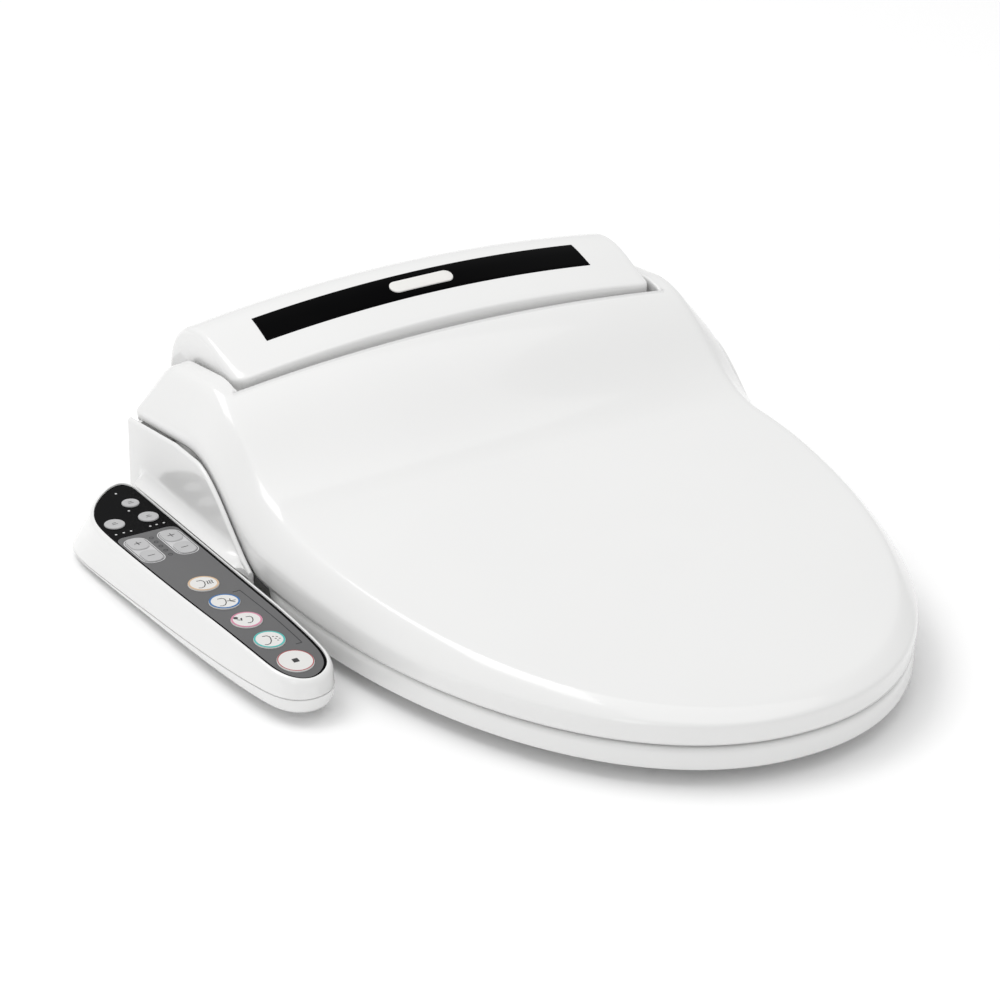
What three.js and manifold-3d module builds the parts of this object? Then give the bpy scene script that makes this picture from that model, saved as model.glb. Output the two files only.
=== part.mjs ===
// Electric bidet seat: an elongated, heated seat and lid hinged on a rear housing, with a fixed
// control arm on the seated user's right. Millimetres, +Z up, front towards -Y, arm towards -X.
// The origin is on the underside, on the centre plane, midway between the two bowl bolts.
import * as THREE from 'three';
import { mergeVertices } from 'three/addons/utils/BufferGeometryUtils.js';
import Module from 'manifold-3d';

const wasm = await Module();
wasm.setup();

// ---------------------------------------------------------------- driving dimensions
const GAP = 0.35; // clearance between touching pieces
const WALL = 3; // moulded wall thickness

const TIP_Y = -467.5; // front tip of the lid
const SIDE_Y = -147.7; // where the straight sides meet the rounded front
const LID_HALF = 185.5; // half width of the lid
const OVAL = 2.12; // exponent of the front outline
const LID_LOW = 26.6; // lower edge of the lid at the front

const HINGE = { y: 4, z: 94 }; // common hinge axis of seat and lid
const LUG_R = 20; // round end of the lid's hinge lugs
const PIN_R = 5;
const BOSS_X = 174.5; // inner face of the lid's hinge bosses

const BODY_HALF = 190; // half width of the body
const CHEEK_Y = -133; // front end of the side panels beside the lid
const REAR_MID = 50; // rear wall on the centre plane
const REAR_SIDE = 28; // rear wall at the sides
const REAR_BEND = 6; // exponent of the rear wall's curve
const CORE_HALF = 152; // half width of the middle housing and its cover
const CORE_FRONT = -50;
const CORE_TOP = 88; // parting plane of the body and the rear cover
const LEDGE = 40; // top of the low ledges under the hinge lugs
const REAR_WALL = 64; // height of the rear wall beside the middle housing
const LID_BACK = -54.8; // rear edge of the lid, in front of the cover
const CROWN = 11.5; // rise of the cover's middle over its ends
const NOTCH = CORE_HALF + 2.2; // half width of the lid's cut-out round the cover

const SEAT_LOW = 9.5; // underside of the seat, held up by its buffers
const SEAT_TOP = 25.4;
const HOLE = { half: 103, front: -392, back: -138 };

const ARM = { inner: -193, back: 13.6, front: -272.5, top: 35 };
const PANEL_THICK = 1.2;

// ---------------------------------------------------------------- small helpers
const clamp01 = (t) => Math.min(1, Math.max(0, t));
const smooth = (t) => clamp01(t) ** 2 * (3 - 2 * clamp01(t));
const lerp = (a, b, t) => a + (b - a) * t;
const range = (n, f) => Array.from({ length: n }, (_, i) => f(i));

// A closed three.js geometry as a manifold solid, with its faces pointing out.
function solid(geometry) {
  geometry.deleteAttribute('normal');
  geometry.deleteAttribute('uv');
  const merged = mergeVertices(geometry, 1e-4);
  const vertProperties = new Float32Array(merged.attributes.position.array);
  const triVerts = new Uint32Array(merged.index.array);
  const build = () => new wasm.Manifold(new wasm.Mesh({ numProp: 3, vertProperties, triVerts }));
  const body = build();
  if (body.volume() > 0) return body;
  triVerts.reverse();
  return build();
}

// A manifold solid as a three.js geometry.
function geometryOf(body) {
  const mesh = body.getMesh();
  const g = new THREE.BufferGeometry();
  g.setAttribute('position', new THREE.BufferAttribute(new Float32Array(mesh.vertProperties), 3));
  g.setIndex(new THREE.BufferAttribute(new Uint32Array(mesh.triVerts), 1));
  return g;
}

const union = (...list) => list.reduce((a, b) => a.add(b));
const cut = (body, ...tools) => tools.reduce((a, b) => a.subtract(b), body);
const mirror = (body) => body.mirror([1, 0, 0]);
const both = (body) => union(body, mirror(body));

function prism(points, depth) {
  const shape = new THREE.Shape(points.map(([a, b]) => new THREE.Vector2(a, b)));
  return new THREE.ExtrudeGeometry(shape, { depth, bevelEnabled: false });
}

// An outline in X and Y, extruded from z0 to z1.
const prismZ = (points, z0, z1) => solid(prism(points, z1 - z0).translate(0, 0, z0));

// An outline in Y and Z, extruded from x0 to x1.
function prismX(points, x0, x1) {
  const g = prism(points, x1 - x0);
  g.applyMatrix4(new THREE.Matrix4().set(0, 0, 1, x0, 1, 0, 0, 0, 0, 1, 0, 0, 0, 0, 0, 1));
  return solid(g);
}

function box(x0, x1, y0, y1, z0, z1) {
  const g = new THREE.BoxGeometry(x1 - x0, y1 - y0, z1 - z0);
  return solid(g.translate((x0 + x1) / 2, (y0 + y1) / 2, (z0 + z1) / 2));
}

// A cylinder from one point to another.
function rod(from, to, r, sides = 20, r2 = r) {
  const a = new THREE.Vector3(...from);
  const b = new THREE.Vector3(...to);
  const g = new THREE.CylinderGeometry(r2, r, a.distanceTo(b), sides);
  const turn = new THREE.Quaternion().setFromUnitVectors(
    new THREE.Vector3(0, 1, 0), b.clone().sub(a).normalize());
  g.applyQuaternion(turn);
  const mid = a.add(b).multiplyScalar(0.5);
  return solid(g.translate(mid.x, mid.y, mid.z));
}

// Points of an arc about (a, b), in degrees.
const arc = (a, b, r, from, to, steps) => range(steps + 1, (i) => {
  const t = THREE.MathUtils.degToRad(lerp(from, to, i / steps));
  return [a + r * Math.cos(t), b + r * Math.sin(t)];
});

// A rectangle with round corners.
function roundRect(x0, x1, y0, y1, r, steps = 4) {
  return [
    ...arc(x1 - r, y0 + r, r, -90, 0, steps), ...arc(x1 - r, y1 - r, r, 0, 90, steps),
    ...arc(x0 + r, y1 - r, r, 90, 180, steps), ...arc(x0 + r, y0 + r, r, 180, 270, steps),
  ];
}

// Skin over rings of equal length. A tube closes on itself; otherwise both ends get a cap.
function loft(rings, tube = false) {
  const n = rings[0].length;
  const points = rings.flat(2);
  const faces = [];
  const quad = (a, b, c, d) => faces.push(a, b, c, a, c, d);
  const last = tube ? rings.length : rings.length - 1;
  for (let r = 0; r < last; r += 1) {
    const s = (r + 1) % rings.length;
    for (let i = 0; i < n; i += 1) {
      const j = (i + 1) % n;
      quad(r * n + i, r * n + j, s * n + j, s * n + i);
    }
  }
  if (!tube) {
    [0, rings.length - 1].forEach((r) => {
      const mid = [0, 1, 2].map((k) => rings[r].reduce((sum, p) => sum + p[k], 0) / n);
      const centre = points.length / 3;
      points.push(...mid);
      for (let i = 0; i < n; i += 1) {
        const j = (i + 1) % n;
        if (r === 0) faces.push(centre, r * n + j, r * n + i);
        else faces.push(centre, r * n + i, r * n + j);
      }
    });
  }
  const g = new THREE.BufferGeometry();
  g.setAttribute('position', new THREE.Float32BufferAttribute(points, 3));
  g.setIndex(faces);
  return solid(g);
}

// ---------------------------------------------------------------- shared shapes of the object
// Height of the lid's middle line, its crown, its side crease and its lower edge along Y.
const lidMiddle = (y) => 69 + 0.055 * (y + 154) - 0.00008 * (y + 154) ** 2
  + 52 * smooth((y + 147) / 106) - 0.17 * Math.max(0, y + 36);
const lidCrown = (y) => 5 + 6 * smooth((y + 149) / 60);
const lidTop = (x, y) => lidMiddle(y) - lidCrown(y) * (x / 165) ** 2;
const lidLow = (y) => LID_LOW + 52 * smooth((y + 140) / 90) - 0.115 * Math.max(0, y + 45);
const cheekTop = (y) => 26 + 52.5 * smooth((y + 150) / 88) - 0.12 * Math.max(0, y + 35);
const seatRise = (y) => 38 * smooth((y + 165) / 85);
const panelTop = (y) => ARM.top - 0.0009 * Math.min(0, y + 180) ** 2;

// Closed plan outline: straight sides, an oval front and a straight back with small corners.
function planLoop({ half, tip, side, back, corner, inset = 0, front = 30, power = OVAL }) {
  const h = half - inset;
  const len = side - tip - inset;
  const loop = range(front + 1, (i) => {
    const t = Math.PI * (i / front);
    const c = Math.cos(t);
    const s = Math.sin(t);
    return [
      -h * Math.sign(c) * Math.abs(c) ** (2 / power),
      side - len * s ** (2 / power),
    ];
  });
  const b = back - inset;
  return [
    ...loop,
    [h, lerp(side, b, 0.25)], [h, lerp(side, b, 0.5)], [h, lerp(side, b, 0.75)],
    ...arc(h - corner, b - corner, corner, 0, 90, 3),
    ...range(5, (i) => [lerp(h - corner, corner - h, (i + 1) / 6), b]),
    ...arc(corner - h, b - corner, corner, 90, 180, 3),
    [-h, lerp(b, side, 0.25)], [-h, lerp(b, side, 0.5)], [-h, lerp(b, side, 0.75)],
  ];
}

// ---------------------------------------------------------------- lid
const LID_PLAN = { half: LID_HALF, tip: TIP_Y, side: SIDE_Y, back: HINGE.y + LUG_R, corner: 5 };

// The lid's dome, or the hollow under it when it is inset.
function lidDome(inset) {
  const creaseInset = (y) => 9 + 9 * smooth((y + 200) / 110);
  const level = (share, height) => planLoop({ ...LID_PLAN, inset })
    .map(([x, y]) => {
      const mid = lerp(-225, y, 0.35);
      const reach = Math.hypot(x, y - mid);
      const k = 1 - (share * creaseInset(y)) / reach;
      const px = x * k;
      const py = mid + (y - mid) * k;
      return [px, py, height(px, py)];
    });
  const inner = (k) => planLoop({ ...LID_PLAN, inset: inset + 24 })
    .map(([x, y]) => {
      const py = lerp(-225, y, k);
      return [x * k, py, lidTop(x * k, py) - inset];
    });
  const side = (share) => (x, y) => {
    const low = lidLow(y);
    return lerp(low, lidTop(x, y) - 2 - inset, share);
  };
  return loft([
    level(0, () => -5),
    level(0, (x, y) => lidLow(y) + 3),
    level(0.25, side(0.5)),
    level(0.55, side(0.82)),
    level(1, (x, y) => lidTop(x, y) - 1.2 - inset),
    inner(1), inner(0.72), inner(0.4),
  ]);
}

// Side view of the lid above its lower edge, with the lug's round end.
function lidSide(r, low) {
  const front = range(20, (i) => lerp(-60, -150, i / 19)).map((y) => [y, low(y)]);
  return prismX([
    [-480, low(-160)], [-480, 160], [HINGE.y, 160], [HINGE.y, HINGE.z + r],
    ...arc(HINGE.y, HINGE.z, r, 90, -90, 10), [-20, low(-20)], [-40, low(-40)], ...front,
  ].reverse(), -200, 200);
}

function lidShell() {
  const outer = lidDome(0).intersect(lidSide(LUG_R, lidLow));
  const hollow = lidDome(WALL).intersect(lidSide(LUG_R - WALL, () => -20));
  const lugWall = both(box(NOTCH, NOTCH + WALL, LID_BACK, 30, 70, 120));
  const kept = cut(outer, hollow, box(-NOTCH, NOTCH, LID_BACK, 40, 0, 160));
  const boss = both(rod([BOSS_X, HINGE.y, HINGE.z], [181, HINGE.y, HINGE.z], 9));
  const armSlot = both(box(NOTCH + WALL, BOSS_X, HINGE.y - 8, 40, 60, 88));
  const bore = both(rod([150, HINGE.y, HINGE.z], [179.5, HINGE.y, HINGE.z], PIN_R + GAP));
  return cut(union(kept, lugWall.intersect(outer), boss.intersect(outer)), armSlot, bore);
}

// A rubber buffer inside the lid's rim, at an angle from the tip.
function lidBuffer(degrees, sign) {
  const t = THREE.MathUtils.degToRad(degrees);
  const inset = WALL + GAP + 7.4;
  const x = sign * (LID_HALF - inset) * Math.sin(t) ** (2 / OVAL);
  const y = SIDE_Y - (SIDE_Y - TIP_Y - inset) * Math.cos(t) ** (2 / OVAL);
  return rod([x, y, SEAT_TOP + GAP], [x, y, LID_LOW + 7], 4, 12);
}

// ---------------------------------------------------------------- seat
const ARM_END_R = 7.6; // round end of the seat's hinge arms
const seatHalf = (y) => 184 - 9 * smooth((y + 160) / 40);
const SECTIONS = 48;

// Outer and inner edge of the ring in the same direction, at each step round the seat.
function seatEdges(step) {
  const t = (2 * Math.PI * step) / SECTIONS;
  const c = Math.cos(t);
  const s = Math.sin(t);
  const middle = (HOLE.front + HOLE.back) / 2;
  const innerY = (HOLE.back - HOLE.front) / 2;
  const bend = (v, p) => Math.sign(v) * Math.abs(v) ** (2 / p);
  const inner = [HOLE.half * bend(c, 2.15), middle + innerY * bend(s, 2.15)];
  const back = -84;
  const outerY = s < 0
    ? SIDE_Y - (SIDE_Y - TIP_Y - 1.5) * Math.abs(s) ** (2 / OVAL)
    : lerp(SIDE_Y, back, s ** (2 / 5));
  const half = seatHalf(outerY);
  const outer = [half * bend(c, s < 0 ? OVAL : 5), outerY];
  return { outer, inner };
}

// A ring whose section is a list of [share across the ring, offset from that edge, height].
function seatRing(section) {
  return loft(range(SECTIONS, (step) => {
    const { outer, inner } = seatEdges(step);
    const width = Math.hypot(outer[0] - inner[0], outer[1] - inner[1]);
    return section.map(([share, offset, z]) => {
      const k = share + offset / width;
      const x = lerp(outer[0], inner[0], k);
      const y = lerp(outer[1], inner[1], k);
      return [x, y, z + seatRise(y)];
    });
  }), true);
}

const ACROSS = [0.25, 0.5, 0.75];

const seatSkin = (inset, bottom) => seatRing([
  [0, inset, bottom], [0, inset, 19 - inset], [0, 2.2 + inset, 23.4 - inset],
  [0, 7, SEAT_TOP - inset], ...ACROSS.map((k) => [k, 0, SEAT_TOP - 1.8 * k - inset]),
  [1, -7, SEAT_TOP - 3.4 - inset], [1, -2 - inset, 18.5 - inset], [1, -inset, 14 - inset],
  [1, -inset, bottom], ...[...ACROSS].reverse().map((k) => [k, 0, bottom]),
]);

// A flat band across the ring, between two offsets from its edges.
const seatBand = (from, to, low, high) => seatRing([
  [0, from, low], [0, from, high], ...ACROSS.map((k) => [k, 0, high]),
  [1, -to, high], [1, -to, low], ...[...ACROSS].reverse().map((k) => [k, 0, low]),
]);

function seatArm() {
  const y = HINGE.y;
  const z = HINGE.z;
  return both(prismX([
    ...arc(y, z, ARM_END_R, 100, -65, 8), [-70, 52], [-95, 45], [-112, 39], [-112, 44], [-97, 60],
  ].reverse(), 161, 171));
}

const seatHollow = () => seatSkin(WALL, 5);
const seatPinBore = () => both(rod([150, HINGE.y, HINGE.z], [185, HINGE.y, HINGE.z], PIN_R + GAP));

function seatUpper() {
  const arms = cut(seatArm(), seatSkin(0, SEAT_LOW - 6), seatPinBore());
  const armFoot = seatArm().intersect(seatSkin(0, SEAT_LOW + 3));
  return union(cut(seatSkin(0, SEAT_LOW + 3), seatHollow()), armFoot, arms);
}

const seatLower = () => seatBand(0.6, 0.6, SEAT_LOW, SEAT_LOW + 2);
const seatHeater = () => seatBand(16, 18, SEAT_TOP - 7.6, SEAT_TOP - 6.8);

const seatBufferAt = (x, y) => prismZ(roundRect(x - 9, x + 9, y - 6, y + 6, 5, 3), 0, SEAT_LOW - GAP);

// ---------------------------------------------------------------- body
function bodyRear(x) {
  return REAR_SIDE + (REAR_MID - REAR_SIDE) * (1 - (Math.abs(x) / BODY_HALF) ** REAR_BEND);
}

// Plan outline of the body, moved in by a wall when it is inset.
function bodyPlan(inset) {
  const h = BODY_HALF - inset;
  return [
    [-h, CHEEK_Y - 20], [h, CHEEK_Y - 20],
    ...range(21, (i) => {
      const x = h * Math.cos((Math.PI * i) / 20);
      return [x, bodyRear(x) - inset];
    }),
  ];
}

// Side view of one cheek under its top edge.
const cheekSide = () => [
  [CHEEK_Y, 6], [CHEEK_Y + 6, 0], [60, 0],
  ...range(41, (i) => lerp(60, CHEEK_Y, i / 40)).map((y) => [y, cheekTop(y)]),
];

// Side panel of the body: a thin wall beside the lid.
const CHEEK_THICK = 3.4;
const sidePanel = () => prismX(cheekSide(), -BODY_HALF, CHEEK_THICK - BODY_HALF)
  .intersect(prismZ(bodyPlan(0), -1, 120));

// Hollow fillet from the side panel out to the rim of the arm's panel.
const WING = { reach: 9, height: 9.5, foot: 36.4, edge: 0.3 };
function wing() {
  const { reach, height, foot, edge } = WING;
  const wall = CHEEK_THICK / 2 - BODY_HALF;
  return loft(range(25, (i) => {
    const y = lerp(ARM.back - 1, -126, i / 24);
    const tall = Math.min(height, Math.max(edge, cheekTop(y) - foot - 1.5));
    return [
      [wall, y, foot], [-BODY_HALF - reach, y, foot],
      ...arc(-1, 1, 1, 270, 360, 8)
        .map(([a, b]) => [a * reach - BODY_HALF, y, foot + edge + b * tall]),
      [wall, y, foot + edge + tall],
    ];
  }));
}

const FLOOR = 6; // thickness of the body's floor over the bracket
const BRACKET = { half: 118, front: -34, back: 39, thick: 2.6 };
const BOLT_X = 70; // the bowl's two bolt holes are 140 mm apart
const CABLE_Y = -30;
const PORT = { half: 23, low: 13, high: 43 }; // nozzle port in the front wall
const OUTLET = { from: -137, to: -111, low: 30, high: 50 }; // warm air outlet

const armCableHole = () => rod([-192, CABLE_Y, 20], [-180, CABLE_Y, 20], 4, 12);

function baseHousing() {
  const plan = prismZ(bodyPlan(0), -1, 120);
  const core = box(-CORE_HALF, CORE_HALF, CORE_FRONT, 70, 0, CORE_TOP);
  const side = BODY_HALF - CHEEK_THICK - GAP;
  const ledge = box(-side, side, CORE_FRONT, 70, 0, LEDGE);
  const rearWall = cut(box(-side, side, 0, 70, 0, REAR_WALL),
    prismZ(bodyPlan(3.4), -1, 120).intersect(box(-BODY_HALF, BODY_HALF, -9, 70, LEDGE, 120)));
  const outer = union(core, ledge, rearWall).intersect(plan);
  const inside = prismZ(bodyPlan(WALL), WALL, 120);
  const coreRoom = box(WALL - CORE_HALF, CORE_HALF - WALL, CORE_FRONT + WALL, 70, FLOOR, 120);
  const ledgeRoom = both(box(CORE_HALF - 4, BODY_HALF - 5, CORE_FRONT + WALL, 70,
    FLOOR, LEDGE - WALL));
  const port = box(-PORT.half, PORT.half, CORE_FRONT - 2, CORE_FRONT + 5, PORT.low, PORT.high);
  const outlet = box(OUTLET.from, OUTLET.to, CORE_FRONT - 2, CORE_FRONT + 5, OUTLET.low, OUTLET.high);
  const plate = box(-BRACKET.half - GAP, BRACKET.half + GAP, BRACKET.front - GAP,
    BRACKET.back + GAP, -1, BRACKET.thick + GAP);
  const inlet = rod([168, 10, 22], [168, 60, 22], 8 + GAP);
  const gland = rod([-168, 10, 22], [-168, 60, 22], 6 + GAP);
  const keySlot = box(124, 146, 28, REAR_MID + 5, 6.4, 15);
  const boltHoles = both(rod([BOLT_X, 0, -2], [BOLT_X, 0, 12], 4.2, 16));
  const shell = cut(outer, coreRoom.intersect(inside), ledgeRoom.intersect(inside));
  return cut(shell, port, outlet, plate, inlet, gland, keySlot, armCableHole(), boltHoles);
}

// ---------------------------------------------------------------- rear cover
// Section of the cover across X at its ends, from the front foot over the top to the rear foot.
const COVER_SIDE = [
  [-52.5, CORE_TOP], [-53, 106], [-50.2, 109.5], [-50, 112], [-49.4, 115.6], [-45.5, 118.6],
  [-27, 124.3], [-6, 130.9], [8, 131.4], [22, 127.2], [34, 118.8], [41.5, 106.5], [45, CORE_TOP],
];
const crownAt = (x) => CROWN * (1 - (x / CORE_HALF) ** 2);
const coverLift = (z) => clamp01((z - CORE_TOP) / 23);

// How far the cover's front face turns back at its rounded ends.
const CORNER_R = 9;
function cornerBack(x) {
  const out = Math.max(0, Math.abs(x) - CORE_HALF + CORNER_R);
  return CORNER_R - Math.sqrt(CORNER_R ** 2 - Math.min(out, CORNER_R) ** 2);
}

function coverSlab(points, half) {
  const rings = range(21, (i) => {
    const x = half * Math.sin((Math.PI / 2) * (i / 10 - 1));
    return points.map(([y, z]) => [x, y + cornerBack(x) * clamp01((-20 - y) / 25),
      z + crownAt(x) * coverLift(z)]);
  });
  return loft(rings);
}

const coverInset = (d) => COVER_SIDE.map(([y, z], i) => {
  const end = i === 0 || i === COVER_SIDE.length - 1;
  return [y * (1 - d / 46), end ? CORE_TOP - 3 : CORE_TOP + (z - CORE_TOP) * (1 - d / 40)];
});

// The height of the cover's top surface between the window's edges.
const coverTop = (x, y) => lerp(124.3, 130.9, (y + 27) / 21) + crownAt(x);
const WINDOW = { half: 119.5, front: -26.9, back: -5.5 };

function windowSlab(grow, lift, depth) {
  const h = WINDOW.half + grow;
  return loft(range(11, (i) => {
    const x = h * Math.sin((Math.PI / 2) * (i / 5 - 1));
    const y0 = WINDOW.front - grow;
    const y1 = WINDOW.back + grow;
    const a = coverTop(x, y0) + lift;
    const b = coverTop(x, y1) + lift;
    return [[x, y0, a - depth], [x, y1, b - depth], [x, y1, b], [x, y0, a]].reverse();
  }));
}

function topHousing() {
  const outer = coverSlab(COVER_SIDE, CORE_HALF);
  const hollow = coverSlab(coverInset(WALL), CORE_HALF - WALL);
  const bed = windowSlab(1.6, -1.2 - 1.6, 1.6).intersect(outer);
  const pins = both(rod([140, HINGE.y, HINGE.z], [160, HINGE.y, HINGE.z], PIN_R + 4));
  return cut(union(cut(outer, hollow), bed), windowSlab(GAP, 2, 2 + 1.2 + GAP), pins);
}

const BADGE = { half: 23.5, tall: 5.2 };

function badgeSlab() {
  const yMid = (WINDOW.front + WINDOW.back) / 2 + 1;
  const pill = prismZ(roundRect(-BADGE.half, BADGE.half, yMid - BADGE.tall, yMid + BADGE.tall, 5, 5),
    100, 160);
  return pill.intersect(windowSlab(0, 1.1, 1.1 - GAP));
}

// ---------------------------------------------------------------- control arm
// Corners of the outlines of the panel and of the arm's seam, in the same order round the arm.
const PANEL_CORNERS = [
  [-200.3, -10], [-200.8, 3], [-204.5, 10], [-211.5, 9.4], [-220, 3.7], [-228, -4], [-234.8, -13],
  [-241.2, -26], [-244.4, -42], [-244.9, -70], [-243.9, -118], [-242.3, -164], [-239.8, -208],
  [-236.7, -240], [-234.2, -253], [-230, -261.5], [-224, -266.4], [-217, -267.4], [-209.5, -264],
  [-203.4, -257], [-200.4, -247], [-199.8, -234], [-200.1, -205], [-200.3, -160], [-200.3, -100],
  [-200.3, -50],
];
const SEAM_CORNERS = [
  [-193, -10], [-193, 4], [-196, 11.5], [-207, 13.6], [-222, 13.2], [-236, 10], [-244, 2.5],
  [-248, -12], [-249, -30], [-249, -70], [-248.6, -118], [-247.9, -164], [-246, -208],
  [-243, -240], [-239.5, -256], [-234, -266], [-226.5, -271.2], [-217.5, -272.5], [-208, -269.3],
  [-201, -262], [-197, -251], [-195.5, -236], [-194, -205], [-193, -160], [-193, -100],
  [-193, -50],
];
const PER_CORNER = 3; // steps of a smooth outline between two corners

// A smooth closed outline through its corners, moved out by a distance.
function smoothLoop(corners, grow) {
  const n = corners.length;
  const at = (i) => corners[(i + n) % n];
  const line = corners.flatMap((p, i) => range(PER_CORNER, (k) => {
    const t = k / PER_CORNER;
    return [0, 1].map((c) => {
      const [a, b, d, e] = [at(i - 1)[c], p[c], at(i + 1)[c], at(i + 2)[c]];
      return b + 0.5 * t * (d - a + t * (2 * a - 5 * b + 4 * d - e + t * (3 * (b - d) + e - a)));
    });
  }));
  return line.map(([x, y], i) => {
    const before = line[(i + line.length - 1) % line.length];
    const after = line[(i + 1) % line.length];
    const [dx, dy] = [after[0] - before[0], after[1] - before[1]];
    const size = Math.hypot(dx, dy);
    return [x + (dy / size) * grow, y - (dx / size) * grow];
  });
}

const panelPlan = (grow) => smoothLoop(PANEL_CORNERS, grow);
const seamPlan = (grow) => smoothLoop(SEAM_CORNERS, grow);

// Underside and seam of the arm: both climb towards the front.
const towardTip = (y) => clamp01((-30 - y) / 215);
const armLow = (y) => 2.5 + 4 * towardTip(y);
const armSeam = (y) => 5.5 + 11.5 * towardTip(y);
const alongArm = (from, to) => range(9, (i) => lerp(from, to, i / 8));

function armSlice(low, high) {
  const from = ARM.back + 10;
  const to = ARM.front - 10;
  return prismX([
    ...alongArm(from, to).map((y) => [y, Math.max(high(y), low(y) + 0.5)]),
    ...alongArm(to, from).map((y) => [y, low(y)]),
  ], -260, -180);
}

const armTop = (y) => panelTop(y) + 1;
const ringAt = (plan, height) => plan.map(([x, y]) => [x, y, height(y)]);

// Buttons of the panel: place, size and outline. Pill keys lie in two rows of two.
const ROUND_KEYS = [
  { name: 'power_button', x: -212, y: -17, r: 5.6 },
  { name: 'eco_button', x: -211, y: -40, r: 6.5 },
  { name: 'seat_heat_button', x: -234, y: -39, r: 6.5 },
  { name: 'dry_button', x: -224, y: -139.5, r: 9.6 },
  { name: 'rear_wash_button', x: -224, y: -167, r: 9.6 },
  { name: 'front_wash_button', x: -223.5, y: -194.5, r: 9.6 },
  { name: 'bubble_button', x: -222.5, y: -221.5, r: 9.6 },
  { name: 'stop_button', x: -219.5, y: -248.5, r: 11.2 },
];
const PILL_KEYS = [
  { name: 'pressure_down_button', x: -211, y: -89.5 },
  { name: 'pressure_up_button', x: -211, y: -71 },
  { name: 'position_back_button', x: -234, y: -89.5 },
  { name: 'position_front_button', x: -234, y: -71 },
];
const PILL = { half: 6.2, long: 8.2 };

const keyOutline = (key, grow) => (key.r
  ? arc(key.x, key.y, key.r + grow, 0, 360, 24).slice(0, -1)
  : roundRect(key.x - PILL.half - grow, key.x + PILL.half + grow,
    key.y - PILL.long - grow, key.y + PILL.long + grow, 5 + grow, 3));

// A key's cap follows the panel's slope and stands a little proud of it.
function keySolid(key) {
  const cap = prismZ(keyOutline(key, 0), 20, 60);
  return cap.intersect(armSlice((y) => panelTop(y) - 3.6, (y) => panelTop(y) + 0.9));
}

function keyHoles() {
  return union(...[...ROUND_KEYS, ...PILL_KEYS].map((key) => prismZ(keyOutline(key, GAP), 15, 60)));
}

// Outer form of the arm: walls that lean in from the seam to a rounded rim round the panel.
const ARM_WALL = 2.6;
function armForm(inset) {
  const rim = [[3.6, 3.4], [2.9, 1.9], [2.3, 1.1], [1.7, 0.5], [1.2, 0]];
  return loft([
    ringAt(seamPlan(-inset), () => -2), ringAt(seamPlan(-inset), armSeam),
    ...rim.map(([out, down]) => ringAt(panelPlan(out - inset), (y) => armTop(y) - down)),
    ringAt(panelPlan(1.2 - inset), () => 60),
  ]);
}

function armUpper() {
  const body = armForm(0).intersect(armSlice((y) => armSeam(y) + GAP, armTop));
  const room = armForm(ARM_WALL)
    .intersect(armSlice((y) => armSeam(y) - 2, (y) => panelTop(y) - 4.6));
  const bed = prismZ(panelPlan(GAP), 0, 60)
    .intersect(armSlice((y) => panelTop(y) - PANEL_THICK - GAP, (y) => panelTop(y) + 5));
  const cable = rod([-203, CABLE_Y, 20], [-185, CABLE_Y, 20], 4, 12);
  return cut(body, room, bed, keyHoles(), cable);
}

// The lower shell turns in under the seam.
function armLowerForm(inset) {
  const low = (y) => armLow(y) - 1;
  return loft([
    ringAt(seamPlan(-5 - inset), low), ringAt(seamPlan(-1.8 - inset), (y) => armLow(y) + 1.2),
    ringAt(seamPlan(-0.4 - inset), (y) => lerp(armLow(y), armSeam(y), 0.7)),
    ringAt(seamPlan(-inset), armSeam), ringAt(seamPlan(-inset), () => 60),
  ]);
}

function armLower() {
  const body = armLowerForm(0).intersect(armSlice(armLow, armSeam));
  const room = armLowerForm(ARM_WALL)
    .intersect(armSlice((y) => armLow(y) + 1.6, (y) => armSeam(y) + 5));
  return cut(body, room);
}

function panelFascia() {
  const sheet = prismZ(panelPlan(0), 0, 60)
    .intersect(armSlice((y) => panelTop(y) - PANEL_THICK, panelTop));
  return cut(sheet, keyHoles());
}

const panelBoard = () => prismZ(panelPlan(-4), 0, 60)
  .intersect(armSlice((y) => panelTop(y) - 9, (y) => panelTop(y) - 7.4));

// ---------------------------------------------------------------- works inside the body
// Plate that stays on the bowl; the body clips over it.
function mountingBracket() {
  const { half, front, back, thick } = BRACKET;
  const plate = box(-half, half, front, back, 0, thick);
  const holes = both(rod([BOLT_X, 0, -2], [BOLT_X, 0, 12], 4.2, 16));
  return cut(plate, holes);
}

const releaseButton = () => box(124 + GAP, 146 - GAP, 34, REAR_MID, 6.4 + GAP, 15 - GAP);
const hingePin = () => rod([141, HINGE.y, HINGE.z], [171.5, HINGE.y, HINGE.z], PIN_R);
const damper = () => rod([98, HINGE.y, HINGE.z], [140.6, HINGE.y, HINGE.z], 9.5);
const waterInlet = () => union(
  rod([168, 26, 22], [168, 48, 22], 8), rod([168, 22, 22], [168, 28, 22], 10.5, 6));
const inletFilter = () => rod([168, 2, 22], [168, 21.6, 22], 6.5);
const powerGland = () => union(
  rod([-168, 28, 22], [-168, 46, 22], 6), rod([-168, 20, 22], [-168, 29, 22], 8.5, 6));
const panelCable = () => rod([-201, CABLE_Y, 20], [-152, CABLE_Y, 20], 2.6, 10);

// Tank with its filling port and the opening of the heating element.
const TANK = { x0: 40, x1: 104, y0: -42, y1: 32, z0: 10, z1: 76 };
function waterTank() {
  const { x0, x1, y0, y1, z0, z1 } = TANK;
  const w = 2.4;
  const outer = prismZ(roundRect(x0, x1, y0, y1, 8, 3), z0, z1);
  const room = prismZ(roundRect(x0 + w, x1 - w, y0 + w, y1 - w, 6, 3), z0 + w, z1 - w);
  const port = rod([x1 - 5, 18, 24], [x1 + 5, 18, 24], 3.2, 12);
  const top = rod([60, 8, z1 - 6], [60, 8, z1 + 3], 5, 12);
  return cut(outer, room, port, top);
}

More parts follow.
